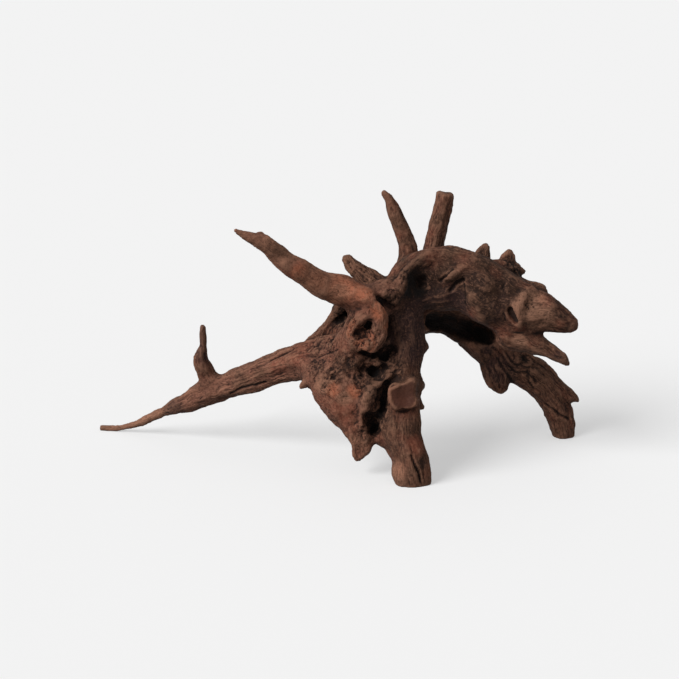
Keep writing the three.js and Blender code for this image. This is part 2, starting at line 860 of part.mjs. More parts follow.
function toSolid(wasm, points, faces) {
  const mesh = new wasm.Mesh({
    numProp: 3,
    vertProperties: new Float32Array(points.flat()),
    triVerts: new Uint32Array(faces.flat()),
  });
  return new wasm.Manifold(mesh);
}

function boxSolid(wasm, low, high) {
  const size = high.map((value, axis) => value - low[axis]);
  const box = new THREE.BoxGeometry(...size);
  box.translate(...low.map((value, axis) => value + size[axis] / 2));
  const places = box.attributes.position;
  const points = [];
  const known = new Map();
  const corners = [...box.index.array].map((n) => {
    const point = [places.getX(n), places.getY(n), places.getZ(n)];
    const key = point.join();
    if (!known.has(key)) {
      known.set(key, points.length);
      points.push(point);
    }
    return known.get(key);
  });
  const faces = [];
  for (let n = 0; n < corners.length; n += 3) {
    faces.push(corners.slice(n, n + 3));
  }
  return toSolid(wasm, points, faces);
}

function toGeometry(solid) {
  const mesh = solid.getMesh();
  const points = [];
  for (let n = 0; n < mesh.vertProperties.length; n += mesh.numProp) {
    points.push(...mesh.vertProperties.slice(n, n + 3));
  }
  const geometry = new THREE.BufferGeometry();
  geometry.setAttribute('position', new THREE.Float32BufferAttribute(points, 3));
  geometry.setIndex([...mesh.triVerts]);
  geometry.computeVertexNormals();
  return geometry;
}

function buildWood(wasm) {
  const grid = makeGrid(SPACE_LOW, SPACE_HIGH, CELL);
  LIMBS.forEach((limb, n) => joinLimb(grid, limb, n * 7.3));
  HOLLOWS.forEach((hollow, n) => takeHollow(grid, hollow, n * 5.1 + 300));
  addLumps(grid);
  const skin = thinSkin(largestSkin(skinOf(grid)), FACETS);
  const body = toSolid(wasm, clearOfGround(skin.points), skin.faces);
  const below = boxSolid(wasm, [SPACE_LOW[0], SPACE_LOW[1], SPACE_LOW[2] * 4], [SPACE_HIGH[0], SPACE_HIGH[1], 0]);
  const geometry = toGeometry(body.subtract(below));
  geometry.translate(-MIDDLE[0], -MIDDLE[1], 0);
  return geometry;
}

const wasm = await Module();
wasm.setup();

const wood = new THREE.MeshStandardMaterial({ color: WOOD_COLOUR, roughness: WOOD_ROUGHNESS, metalness: 0 });
const driftwood = new THREE.Mesh(buildWood(wasm), wood);
driftwood.name = 'driftwood';

const group = new THREE.Group();
group.add(driftwood);

export default group;
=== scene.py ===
import itertools
import math

import bmesh
import bpy
import numpy as np
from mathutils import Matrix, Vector
from mathutils.bvhtree import BVHTree
from mathutils.kdtree import KDTree


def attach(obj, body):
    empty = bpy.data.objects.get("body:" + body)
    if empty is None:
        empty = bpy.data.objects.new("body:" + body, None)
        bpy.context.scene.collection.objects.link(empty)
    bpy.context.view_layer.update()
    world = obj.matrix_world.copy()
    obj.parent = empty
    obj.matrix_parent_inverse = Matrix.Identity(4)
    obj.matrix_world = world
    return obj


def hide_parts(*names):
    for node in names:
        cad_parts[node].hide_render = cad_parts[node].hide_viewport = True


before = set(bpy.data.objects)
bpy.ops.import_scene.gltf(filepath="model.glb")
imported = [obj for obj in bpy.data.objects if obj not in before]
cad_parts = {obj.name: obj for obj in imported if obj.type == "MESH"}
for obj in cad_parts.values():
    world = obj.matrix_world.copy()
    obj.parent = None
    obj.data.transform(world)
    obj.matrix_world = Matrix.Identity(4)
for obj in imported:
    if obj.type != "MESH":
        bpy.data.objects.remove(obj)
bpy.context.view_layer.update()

# The camera
# It stands a little above the wood and looks down on the middle of its height, through a long lens,
# so that the limbs keep their proportions.
MM = 0.001
CAMERA_AIM = (1.0, 21.0, 71.5)
CAMERA_DISTANCE = 1067.6
CAMERA_ELEVATION = 17.0
LENS_LENGTH = 90.0
FILM_WIDTH = 36.0

camera_lens = bpy.data.cameras.new("camera")
camera_lens.lens = LENS_LENGTH
camera_lens.sensor_width = FILM_WIDTH
camera = bpy.data.objects.new("camera", camera_lens)
bpy.context.scene.collection.objects.link(camera)
camera_rise = math.radians(CAMERA_ELEVATION)
camera_back = Vector((0.0, -math.cos(camera_rise), math.sin(camera_rise)))
camera.location = (Vector(CAMERA_AIM) + CAMERA_DISTANCE * camera_back) * MM
camera.rotation_euler = (math.pi / 2 - camera_rise, 0.0, 0.0)
bpy.context.scene.camera = camera
bpy.context.scene.view_settings.view_transform = "Standard"

# The paper
# A wide sheet of pale, matte paper on the table, on which the wood stands. It is lit from below as
# well, so that the wood's shadow on it stays faint.
PAPER_SIZE = 40.0
PAPER_GREY = "#b4b4b4"
PAPER_GLOW = 0.425


def linear(colour):
    """Linear red, green, blue and alpha of an sRGB hex colour such as '#7a5040'."""
    parts = [int(colour[n:n + 2], 16) / 255 for n in (1, 3, 5)]
    return [p / 12.92 if p <= 0.04045 else ((p + 0.055) / 1.055) ** 2.4 for p in parts] + [1.0]


def add_node(tree, kind, settings=None, links=None):
    """Adds a node with its settings, and links or sets its inputs by name or number."""
    node = tree.nodes.new(kind)
    for name, value in (settings or {}).items():
        setattr(node, name, value)
    for name, value in (links or {}).items():
        if isinstance(value, bpy.types.NodeSocket):
            tree.links.new(value, node.inputs[name])
        else:
            node.inputs[name].default_value = value
    return node


def new_material(name):
    """An empty node material and its tree."""
    material = bpy.data.materials.new(name)
    material.use_nodes = True
    material.node_tree.nodes.clear()
    return material, material.node_tree


paper_form = bmesh.new()
bmesh.ops.create_grid(paper_form, x_segments=1, y_segments=1, size=PAPER_SIZE / 2)
paper_mesh = bpy.data.meshes.new("paper")
paper_form.to_mesh(paper_mesh)
paper_form.free()
paper = bpy.data.objects.new("paper", paper_mesh)
bpy.context.scene.collection.objects.link(paper)
# The paper sends no light up under the wood, so the hollows stay dark.
paper.visible_diffuse = False

# Matte paper scatters light evenly and has no sheen.
paper_material, paper_tree = new_material("matte_paper")
paper_shader = add_node(paper_tree, "ShaderNodeBsdfPrincipled", links={
    "Base Color": linear(PAPER_GREY), "Roughness": 0.95, "Specular IOR Level": 0.0,
    "Emission Color": linear("#ffffff"), "Emission Strength": PAPER_GLOW,
})
add_node(paper_tree, "ShaderNodeOutputMaterial", links={"Surface": paper_shader.outputs[0]})
paper_mesh.materials.append(paper_material)

# The lamp
# One wide, soft studio lamp, above the wood and to the left of the camera. Its light falls across
# the wood, so that the furrows show.
LAMP_FROM = (-0.98, -0.68, 0.86)
LAMP_POWER = 3.35
LAMP_SPREAD = 36.0

lamp_light = bpy.data.lights.new("soft_lamp", "SUN")
lamp_light.energy = LAMP_POWER
lamp_light.angle = math.radians(LAMP_SPREAD)
lamp = bpy.data.objects.new("soft_lamp", lamp_light)
bpy.context.scene.collection.objects.link(lamp)
lamp.location = LAMP_FROM
lamp.rotation_euler = (-Vector(LAMP_FROM)).to_track_quat("-Z", "Y").to_euler()

# The walls of the studio
# White walls and a white ceiling all round. They light the wood more from above than from below,
# and they are seen as pale as the paper.
CEILING_LIGHT = 0.41
FLOOR_LIGHT = 0.13
WALL_SEEN = 0.9
LIGHT_FROM_BELOW = -0.25
LIGHT_FROM_ABOVE = 0.35

walls = bpy.data.worlds.new("light_walls")
walls.use_nodes = True
walls_tree = walls.node_tree
walls_tree.nodes.clear()
walls_way = add_node(walls_tree, "ShaderNodeSeparateXYZ", links={
    0: add_node(walls_tree, "ShaderNodeTexCoord").outputs["Generated"],
})
walls_light = add_node(walls_tree, "ShaderNodeMapRange", {"interpolation_type": "SMOOTHSTEP"}, {
    "Value": walls_way.outputs["Z"], "From Min": LIGHT_FROM_BELOW, "From Max": LIGHT_FROM_ABOVE,
    "To Min": FLOOR_LIGHT, "To Max": CEILING_LIGHT,
})
walls_lit = add_node(walls_tree, "ShaderNodeBackground", links={"Strength": walls_light.outputs["Result"]})
walls_seen = add_node(walls_tree, "ShaderNodeBackground", links={"Strength": WALL_SEEN})
walls_mix = add_node(walls_tree, "ShaderNodeMixShader", links={
    0: add_node(walls_tree, "ShaderNodeLightPath").outputs["Is Camera Ray"],
    1: walls_lit.outputs[0],
    2: walls_seen.outputs[0],
})
add_node(walls_tree, "ShaderNodeOutputWorld", links={"Surface": walls_mix.outputs[0]})
for shade in (walls_lit, walls_seen):
    shade.inputs["Color"].default_value = linear("#ffffff")
bpy.context.scene.world = walls

# The driftwood
# An old root, stripped of its bark and worn by water: bare, dry, matte wood. It grew as one piece,
# and its grain runs along each limb and round each knot.

# The solid form from the frame is given an even skin of small faces.
SKIN_STEP = 1.0 * MM
MERGE = 0.002 * MM

solid_form = bmesh.new()
solid_form.from_mesh(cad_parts["driftwood"].data)
bmesh.ops.remove_doubles(solid_form, verts=solid_form.verts, dist=MERGE)
rough_mesh = bpy.data.meshes.new("rough_wood")
solid_form.to_mesh(rough_mesh)
solid_form.free()
rough_wood = bpy.data.objects.new("rough_wood", rough_mesh)
bpy.context.scene.collection.objects.link(rough_wood)
even_skin = rough_wood.modifiers.new("even_skin", "REMESH")
even_skin.mode = "VOXEL"
even_skin.voxel_size = SKIN_STEP
finished_skin = rough_wood.evaluated_get(bpy.context.evaluated_depsgraph_get())
wood_mesh = bpy.data.meshes.new_from_object(finished_skin)
bpy.data.objects.remove(rough_wood)
wood_mesh.name = "driftwood_wood"

point_count = len(wood_mesh.vertices)
points = np.empty(point_count * 3)
wood_mesh.vertices.foreach_get("co", points)
points = points.reshape(-1, 3) / MM
edges = np.empty(len(wood_mesh.edges) * 2, dtype=np.int64)
wood_mesh.edges.foreach_get("vertices", edges)
edge_from = np.concatenate([edges[0::2], edges[1::2]])
edge_to = np.concatenate([edges[1::2], edges[0::2]])
neighbour_count = np.bincount(edge_from, minlength=point_count).astype(float)


def neighbour_mean(values):
    """Mean of each point's neighbours, for one column or several."""
    columns = values.reshape(point_count, -1)
    sums = [
        np.bincount(edge_from, weights=column[edge_to], minlength=point_count) for column in columns.T
    ]
    return (np.stack(sums, axis=1) / neighbour_count[:, None]).reshape(values.shape)


def soften(values, times, share=0.5):
    """Values blended with their neighbours' again and again."""
    for _ in range(times):
        values = values + share * (neighbour_mean(values) - values)
    return values


def smooth_step(low, high, value):
    """0 below low, 1 above high and a soft ramp between."""
    part = np.clip((value - low) / (high - low), 0.0, 1.0)
    return part * part * (3.0 - 2.0 * part)


def outward():
    """Unit normals of the skin at its present points."""
    wood_mesh.vertices.foreach_set("co", (points * MM).ravel())
    wood_mesh.update()
    normals = np.empty(point_count * 3)
    wood_mesh.vertex_normals.foreach_get("vector", normals)
    return normals.reshape(-1, 3)


# Facets of the solid form are eased away, and each easing is followed by a push back out, so that
# the wood doesn't shrink.
EASINGS = 24
EASE_IN = 0.5
EASE_BACK = -0.53

for _ in range(EASINGS):
    points = soften(points, 1, EASE_IN)
    points = soften(points, 1, EASE_BACK)

# Runs of grain: furrow depth, burl height and paleness, from 0 for none, then x, y, z and girth along
# the middle of each limb, in mm.
GRAIN_RUNS = {
    "front leg": (0.22, 0.1, 0.35, [
        (46, -41, -4, 10), (43, -40, 18, 10), (39, -34, 40, 11), (40, -24, 60, 12),
        (39, -10, 90, 14), (38, 1, 104, 14),
    ]),
    "lump": (0.25, 0.55, 0.8, [
        (-9, -9, 63, 13), (2, -18, 57, 18), (8, -27, 44, 15), (13, -30, 26, 8), (13, -30, 12, 5),
    ]),
    "knot lump": (0.3, 0.35, 0.8, [
        (9, -19, 76, 13), (15, -24, 91, 11), (20, -22, 103, 10), (28, -13, 111, 9),
    ]),
    "horn": (0.24, 0.05, 1.4, [
        (28, -13, 108, 9), (16, -19, 109, 9), (4, -25, 115, 9), (-12, -32, 123, 7),
        (-28, -39, 136, 6), (-49, -47, 153, 3), (-60, -50, 159, 1),
    ]),
    "left trunk": (0.35, 0.1, 1.0, [
        (22, -14, 74, 13), (-2, -9, 70, 13), (-17, -1, 65, 12), (-36, 7, 57, 9), (-72, 21, 40, 8),
        (-95, 29, 28, 6), (-112, 36, 18, 4), (-131, 44, 7, 3), (-155, 51, 1, 2),
    ]),
    "trunk prong": (0.25, 0.05, 0.6, [
        (-79, 24, 41, 6), (-86, 22, 58, 5), (-85, 20, 80, 2),
    ]),
    "strut": (0.5, 0.2, 0.7, [
        (-15, 7, 73, 5), (-1, 8, 92, 3.5), (12, -9, 109, 5),
    ]),
    "strut web": (0.8, 0.3, 0.4, [
        (-3, 13, 78, 4), (9, 13, 85, 6), (17, 9, 96, 6), (23, 3, 104, 6),
    ]),
    "stub behind the horn": (0.5, 0.4, 0.6, [
        (37, 6, 107, 6), (18, 9, 114, 6), (6, 12, 126, 3),
    ]),
    "slender prong": (0.25, 0.05, 0.3, [
        (40, 11, 103, 8), (43, 19, 127, 6), (40, 21, 140, 5), (29, 21, 166, 2),
    ]),
    "broken prong": (0.3, 0.1, 0.35, [
        (59, 11, 110, 9), (60, 25, 131, 6), (65.5, 27, 165, 5),
    ]),
    "arch": (0.26, 0.14, 0.0, [
        (36, 1, 103, 14), (50, 1, 115, 16), (65, 0, 117, 17), (80, -2, 115, 16),
        (96, -5, 106.5, 15), (110, -8, 98.5, 14), (123, -11, 99, 11), (140, -14, 92, 5),
    ]),
    "jaw": (0.34, 0.1, 0.35, [
        (106, -9, 83.5, 9), (129, -13, 74.5, 5), (140, -14, 66.5, 3),
    ]),
    "crest": (0.4, 0.4, 0.3, [
        (89, 6, 111, 9), (100, 10, 116, 8), (109, 8, 111.5, 7), (121, 1, 108, 6),
    ]),
    "crest spur": (0.4, 0.4, 0.6, [
        (104, 14, 120, 6), (105, 16, 130, 3),
    ]),
    "top stub": (0.4, 0.2, 0.5, [
        (85, 17, 118, 7), (91.5, 23, 131, 3),
    ]),
    "back leg": (0.4, 0.1, 0.55, [
        (51, 19, 87, 11), (69, 25, 85, 10), (84, 29, 73, 10), (99, 31, 60, 11), (129, 35, 40, 9.5),
        (143, 39, 16, 8.5), (148, 41, -5, 6),
    ]),
    "leg lobe": (0.45, 0.3, 0.7, [
        (97, 27, 72, 8), (101, 29, 50, 9), (106, 28, 36, 4),
    ]),
    "broken stub": (0.1, 0.1, 0.6, [
        (40, -25, 52, 8), (38, -45, 57, 8),
    ]),
    "heart": (0.5, 0.3, 0.4, [
        (9, 3, 76, 14), (29, 15, 76, 15), (45, 20, 90, 13),
    ]),
    "valley web": (0.4, 0.6, 0.4, [
        (25, -19, 72, 10), (25, -29, 42, 8),
    ]),
}
# In mm: the steps along a limb's middle line, how far its grain reaches from there, how far it blends
# with the next limb's, and how far apart their patterns start, so that none repeats another.
# FAR_AWAY stands for a distance that nothing has come within yet.
RUN_STEP = 3.0
RUN_REACH = 30.0
RUN_BLEND = 3.0
RUN_APART = 170.0
FAR_AWAY = 1e3

# Knots and hollows that the grain flows round: x, y, z and radius in mm. It bends fully as far as
# KNOT_NEAR radii from the middle, and runs straight past KNOT_FAR.
KNOT_NEAR = 1.5
KNOT_FAR = 3.2
GRAIN_KNOTS = [
    (16, -34, 91, 8), (50, -22, 122, 12), (27, -26, 107, 5), (103, -22, 103, 5), (112, 26, 60, 5),
    (-4, -32, 65, 4), (62, -15, 118, 4),
]


def smooth_line(stations):
    """Points about RUN_STEP apart on a smooth curve through the stations."""
    knots = np.array(stations, dtype=float)
    padded = np.vstack([2 * knots[0] - knots[1], knots, 2 * knots[-1] - knots[-2]])
    line = [knots[0]]
    for before, start, end, after in zip(padded, padded[1:], padded[2:], padded[3:]):
        steps = max(1, int(np.linalg.norm((end - start)[:3]) / RUN_STEP))
        for part in np.linspace(0, 1, steps + 1)[1:]:
            line.append(0.5 * (2 * start + (end - before) * part
                               + (2 * before - 5 * start + 4 * end - after) * part ** 2
                               + (3 * start - before - 3 * end + after) * part ** 3))
    return np.array(line)


def along_run(line):
    """For each point of the skin: distance to the limb's surface, and its place in the limb's own
    straightened measures (across, deep, along)."""
    score = np.full(point_count, FAR_AWAY)
    place = np.zeros((point_count, 3))
    travelled = 0.0
    for start, end in zip(line, line[1:]):
        step = (end - start)[:3]
        length = np.linalg.norm(step)
        ahead = step / length
        near = np.linalg.norm(points - start[:3], axis=1) < RUN_REACH
        offset = points[near] - start[:3]
        part = np.clip(offset @ ahead / length, 0.0, 1.0)
        girth = start[3] + part * (end[3] - start[3])
        side = offset - np.outer(part * length, ahead)
        distance = np.linalg.norm(side, axis=1) - girth
        runs_back = abs(ahead[1]) > 0.9
        level = np.array([0.0, 0.0, 1.0]) if runs_back else np.array([0.0, 1.0, 0.0])
        deep = level - ahead * (level @ ahead)
        deep /= np.linalg.norm(deep)
        across = np.cross(ahead, deep)
        measures = np.stack([side @ across, side @ deep, travelled + offset @ ahead], axis=1)
        rows = np.flatnonzero(near)
        closer = distance < score[rows]
        rows = rows[closer]
        score[rows] = distance[closer]
        place[rows] = measures[closer]
        for x, y, z, radius in GRAIN_KNOTS:
            knot = np.array([x, y, z]) - points[rows]
            ahead_of = -(knot @ ahead)
            beside = np.cross(skin_out[rows], ahead)
            aside = -(knot * beside).sum(1)
            from_knot = np.maximum(np.hypot(ahead_of, aside), radius)
            close_by = smooth_step(KNOT_FAR * radius, KNOT_NEAR * radius, np.linalg.norm(knot, axis=1))
            push = -aside * (radius / from_knot) ** 2 * close_by
            place[rows, 0] += push * (beside @ across)
            place[rows, 1] += push * (beside @ deep)
        travelled += length
    return score, place


skin_out = outward()
run_scores = []
run_places = []
for number, (*_, stations) in enumerate(GRAIN_RUNS.values()):
    score, place = along_run(smooth_line(stations))
    run_scores.append(score)
    run_places.append(place + (0.0, 0.0, RUN_APART * number))
run_scores = np.array(run_scores)
run_places = np.array(run_places)
order = np.argsort(run_scores, axis=0)
every = np.arange(point_count)
grain_near = run_places[order[0], every]
grain_next = run_places[order[1], every]
lead = run_scores[order[1], every] - run_scores[order[0], every]
grain_mix = 0.5 * np.exp(-lead / RUN_BLEND)
weights = np.exp(-(run_scores - run_scores.min(axis=0)) / RUN_BLEND)
weights /= weights.sum(axis=0)
run_looks = np.array([run[:3] for run in GRAIN_RUNS.values()])
furrow_depth, burl_height, paleness = soften(weights.T @ run_looks, 8).T

# Random slopes, the same each time, and large odd numbers that scatter them over the swells.
SEED = 41
SLOPE_COUNT = 4096
WAVE_HEIGHT = 1.8
SCATTER = (73856093, 19349663, 83492791)
SEED_SCATTER = 2654435
chance = np.random.default_rng(SEED)
slopes = chance.normal(size=(SLOPE_COUNT, 3))
slopes /= np.linalg.norm(slopes, axis=1)[:, None]


def waves(places, seed):
    """Smooth random waves from about -1 to 1, one swell per unit."""
    cells = np.floor(places).astype(np.int64)
    part = places - cells
    ease = part * part * part * (part * (part * 6.0 - 15.0) + 10.0)
    total = np.zeros(len(places))
    for corner in itertools.product((0, 1), repeat=3):
        at = (cells + corner) * SCATTER
        key = at[:, 0] ^ at[:, 1] ^ at[:, 2] ^ seed * SEED_SCATTER
        share = np.prod(np.where(corner, ease, 1.0 - ease), axis=1)
        total += share * ((part - corner) * slopes[key % SLOPE_COUNT]).sum(1)
    return total * WAVE_HEIGHT


def rough(places, seed, steps=3):
    """Waves with finer waves on them."""
    return sum(waves(places * 2.03 ** n, seed + 31 * n) * 0.55 ** n for n in range(steps))


def along_grain(width, length, seed, steps=1):
    """Rough waves drawn out along the grain, from the nearest limb and the next one."""
    size = np.array([width, width, length])
    near = rough(grain_near / size, seed, steps)
    other = rough(grain_next / size, seed, steps)
    return near + grain_mix * (other - near)


def creases(wave, width):
    """1 on thin lines where a wave crosses zero, fading to 0 beside them."""
    return np.clip(1.0 - np.abs(wave) / width, 0.0, 1.0)


# The grain wanders a little on its way: sizes and reach in mm of its swerves.
WIDE_SWERVE = (9.0, 1.6)
SMALL_SWERVE = (4.0, 0.7)

for field in (grain_near, grain_next):
    field[:, 0] += WIDE_SWERVE[1] * waves(points / WIDE_SWERVE[0], 5)
    field[:, 0] += SMALL_SWERVE[1] * waves(points / SMALL_SWERVE[0], 6)

# Furrows along the grain: width, length and height or depth in mm. The narrowest are sharp grooves
# that open only where the wood has cracked.
FLUTES = (7.0, 60.0, 1.5)
RIDGES = (3.2, 26.0, 0.6)
GROOVES = (4.2, 36.0, 1.5)
GROOVE_EDGE = 0.15
CRACKED_SIZE = 16.0
FURROW_LIFT = 0.2

flutes = along_grain(*FLUTES[:2], 1, 2)
ridges = along_grain(*RIDGES[:2], 2, 2)
cracked = smooth_step(-0.1, 0.5, rough(points / CRACKED_SIZE, 11, 2))
grooves = creases(along_grain(*GROOVES[:2], 3), GROOVE_EDGE) * cracked
height = furrow_depth * (FLUTES[2] * flutes + RIDGES[2] * ridges - GROOVES[2] * grooves + FURROW_LIFT)

# Lumps on the skin and burls with creases between them: size and height or depth in mm.
SKIN_LUMPS = (7.5, 0.32)
BURLS = (10.0, 0.9)
BURL_CREASES = (9.0, 0.7)
BURL_CREASE_EDGE = 0.2

height += SKIN_LUMPS[1] * rough(points / SKIN_LUMPS[0], 12, 3)
burls = BURLS[1] * rough(points / BURLS[0], 14, 3)
burls -= BURL_CREASES[1] * creases(rough(points / BURL_CREASES[0], 13, 2), BURL_CREASE_EDGE)
height += burl_height * burls

# Crackled places, spongy and checked across the grain: x, y, z and radius in mm.
CRACKLED = [
    (16, -34, 91, 12), (8, -33, 98, 7), (8, -28, 74, 8), (22, -26, 72, 11), (29, -24, 78, 8),
    (-3, -31, 65, 7), (14, -34, 62, 7), (30, -30, 60, 8), (-14, -12, 78, 9), (-4, -18, 80, 8),
    (-13, -22, 67, 7), (24, -34, 40, 10), (18, -34, 32, 9), (42, -19, 124, 7), (32, -24, 112, 7),
    (105, 10, 120, 9), (119, 28, 57, 7), (25, -36, 52, 8), (34, -28, 68, 8), (8, 4, 90, 12),
    (-9, -34, 57, 5), (2, -34, 74, 6),
]


def patches(places, inner=0.1, outer=1.25):
    """1 in the middle of each patch, fading to 0 at its edge."""
    total = np.zeros(point_count)
    for x, y, z, radius in places:
        away = np.linalg.norm(points - (x, y, z), axis=1) / radius
        total = np.maximum(total, smooth_step(outer, inner, away))
    return total


# Checks split the spongy wood into small cells, and lumps lie over and between them: sizes, widths,
# heights and depths in mm.
CELL_COUNT = 3200
CHECK_WIDTH = 1.1
CHECK_DEPTH = 0.45
CHECK_WANDER = (3.5, 1.3)
SPONGE_LUMPS = (6.5, 1.0)
SPONGE_GRAINS = (2.8, 0.6)

crackled = patches(CRACKLED, 0.5, 1.2)
swerves = [waves(points / CHECK_WANDER[0], seed) for seed in (21, 22, 23)]
ragged = points + CHECK_WANDER[1] * np.stack(swerves, axis=1)
cells = KDTree(CELL_COUNT)
for place in chance.choice(point_count, CELL_COUNT, replace=False):
    cells.insert(points[place], place)
cells.balance()
crackle = np.zeros(point_count)
for n in np.flatnonzero(crackled > 0.02):
    nearest, second = cells.find_n(ragged[n], 2)
    crackle[n] = max(0.0, 1.0 - (second[2] - nearest[2]) / CHECK_WIDTH)
crackle *= crackled
sponge = SPONGE_LUMPS[1] * rough(points / SPONGE_LUMPS[0], 24, 2)
sponge += SPONGE_GRAINS[1] * rough(points / SPONGE_GRAINS[0], 25, 1)
height += crackled * sponge - CHECK_DEPTH * crackle

# Small worm holes and pits, scattered over the burly places: least and most radius and depth in mm.
# The burlier the place, the more of them.
PIT_COUNT = 260
PIT_RADIUS = (1.4, 3.8)
PIT_DEPTH = (0.4, 1.7)
PIT_RARITY = 0.15

for place in chance.choice(point_count, PIT_COUNT, replace=False):
    size, depth, wanted = chance.random(3)
    if wanted < burl_height[place] - PIT_RARITY:
        radius = PIT_RADIUS[0] + (PIT_RADIUS[1] - PIT_RADIUS[0]) * size
        distance = np.linalg.norm(points - points[place], axis=1)
        depth = PIT_DEPTH[0] + (PIT_DEPTH[1] - PIT_DEPTH[0]) * depth
        height -= depth * smooth_step(1.0, 0.0, distance / radius)

# Pits: x, y, z, radius and depth in mm.
PITS = [
    (-3, -32, 65, 2.6, 2.6), (-8, -33, 58, 2, 1.4), (-14, -25, 59, 1.8, 1.2),
    (7, -32, 65, 1.8, 1.2), (15, -30, 65, 2, 1.4), (16, -26, 78, 2.6, 1.6), (28, -23, 74, 3, 2),
    (22, -26, 65, 3.2, 2), (27, -30, 47, 2, 1.4), (23, -29, 31, 2.6, 2), (119, 28, 57, 5, 2),
    (115, -12, 116, 1.6, 1.2),
]
# Cracks: half width and depth in mm, then the places that each runs through.
CRACKS = {
    "front foot": (0.8, 1.8, [(44, -49, 20), (46, -50, 15), (49, -49, 9), (50, -49, 2)]),
    "edge of the front leg": (0.6, 0.7, [(42, -47, 30), (44, -48, 24), (45, -49, 18)]),
    "upper slit of the trunk": (1.0, 1.8, [(-42, 4, 63), (-37, 1, 67), (-32, -1, 70), (-28, -3, 73)]),
    "lower slit of the trunk": (1.0, 1.4, [(-67, 12, 39), (-61, 9, 43), (-54, 6, 46), (-45, 3, 49)]),
    "trunk curl": (0.7, 0.9, [(-16, -17, 69), (-11, -19, 73), (-6, -22, 76), (0, -27, 80)]),
    "left of the rib": (1.0, 1.8, [(62, -10, 118), (65, -15, 123), (69, -14, 126)]),
    "right of the rib": (1.2, 2.0, [(68, -10, 112), (71, -13, 117), (75, -15, 120)]),
    "furrow of the arch": (0.9, 0.9, [(76, -15, 117), (77, -15, 111), (77, -13, 104), (80, -14, 99)]),
    "back of the snout": (0.7, 0.6, [(101, -14, 119), (99, -16, 115), (101, -17, 110)]),
    "slit of the snout": (2.0, 3.0, [(104, -19, 102), (105.5, -20, 99), (107, -20, 96)]),
    "beside the slit": (0.7, 0.9, [(99, -18, 102), (100, -19, 99), (101, -18, 95)]),
    "fold at the mouth": (0.8, 0.7, [(105, -18, 88), (113, -17, 87), (121, -15, 87)]),
    "first snout line": (0.5, 0.5, [(109, -21, 109), (115, -20, 103), (123, -21, 95)]),
    "second snout line": (0.5, 0.5, [(114, -19, 112), (121, -20, 106), (128, -22, 99)]),
    "third snout line": (0.5, 0.5, [(119, -17, 112), (127, -18, 108), (133, -19, 102)]),
    "fourth snout line": (0.5, 0.5, [(111, -20, 112), (118, -20, 104), (127, -22, 96)]),
    "first leg fold": (0.9, 1.2, [(101, 23, 58), (104, 23, 53), (108, 24, 47), (112, 30, 40)]),
    "second leg fold": (0.8, 0.9, [
        (98, 22, 66), (104, 23, 60), (108, 23, 54), (113, 26, 48), (120, 26, 48),
    ]),
    "third leg fold": (0.8, 0.9, [(106, 24, 62), (110, 24, 56), (116, 26, 51), (121, 27, 51)]),
    "fourth leg fold": (0.7, 0.7, [(90, 22, 64), (93, 25, 56), (96, 24, 50)]),
    "fifth leg fold": (0.8, 0.8, [(96, 22, 63), (98, 23, 54), (102, 23, 45), (103, 24, 38)]),
    "leg slit": (0.9, 1.4, [(124, 27, 45), (126, 27, 41)]),
    "leg curl": (0.7, 0.8, [(121, 26, 50), (121, 27, 43), (125, 28, 36)]),
    "leg groove": (0.9, 1.4, [(133, 31, 25), (138, 30, 22), (144, 32, 17), (149, 34, 14)]),
    "rim of the hollow": (0.6, 0.7, [(38, -21, 118), (40, -18, 123), (43, -14, 128), (48, -12, 132)]),
    "second rim line": (0.6, 0.6, [(35, -22, 118), (37, -20, 124), (41, -16, 129)]),
}


def distance_to_path(path):
    """Distance from each point of the skin to the path, in mm."""
    nearest = np.full(point_count, FAR_AWAY)
    for start, end in zip(np.array(path, float), np.array(path[1:], float)):
        step = end - start
        part = np.clip((points - start) @ step / (step @ step), 0.0, 1.0)
        nearest = np.minimum(nearest, np.linalg.norm(points - start - part[:, None] * step, axis=1))
    return nearest


# The face of the broken stub is flat and nearly smooth, with a thin raised rim: its corners, x and z
# in mm, going round from the upper left one, and the way it faces.
STUB_CORNERS = [(30, 60), (31.5, 51), (36, 47), (43, 47), (47.5, 53), (48, 63), (45, 66.5)]
STUB_MIDDLE = (38.6, -44.4, 56.0)
STUB_FACING = (-0.076, -0.973, 0.216)
STUB_RADIUS = 11.0
STUB_FLATNESS = 0.85
RIM_WIDTH = 1.2
RIM_INSET = 0.6
RIM_HEIGHT = 0.6
RIM_DROP = 1.0

stub_face = smooth_step(0.75, 0.9, soften(skin_out, 2) @ STUB_FACING)
from_stub = np.linalg.norm(points - STUB_MIDDLE, axis=1)
stub_face *= smooth_step(STUB_RADIUS + 2.0, STUB_RADIUS, from_stub)
corners = np.array(STUB_CORNERS, dtype=float)
inside_rim = np.full(point_count, FAR_AWAY)
for start, end in zip(corners, np.roll(corners, -1, axis=0)):
    ahead = (end - start) / np.linalg.norm(end - start)
    inside_rim = np.minimum(inside_rim, (points[:, [0, 2]] - start) @ (-ahead[1], ahead[0]))
stub_cut = stub_face * smooth_step(0.8, 1.6, inside_rim)
stub_rim = stub_face * creases(inside_rim - RIM_INSET, RIM_WIDTH)
stub_side = stub_face * smooth_step(-0.2, -1.4, inside_rim)
height *= 1.0 - STUB_FLATNESS * stub_face
height += RIM_HEIGHT * stub_rim - RIM_DROP * stub_side

# Pits and cracks are sunk with soft edges, so that they reach a little past their own width.
PIT_SPREAD = 1.3
CRACK_SPREAD = 1.5
CRACK_SHADE_SPREAD = 1.15
CRACK_WOBBLE = (4.5, 0.3)

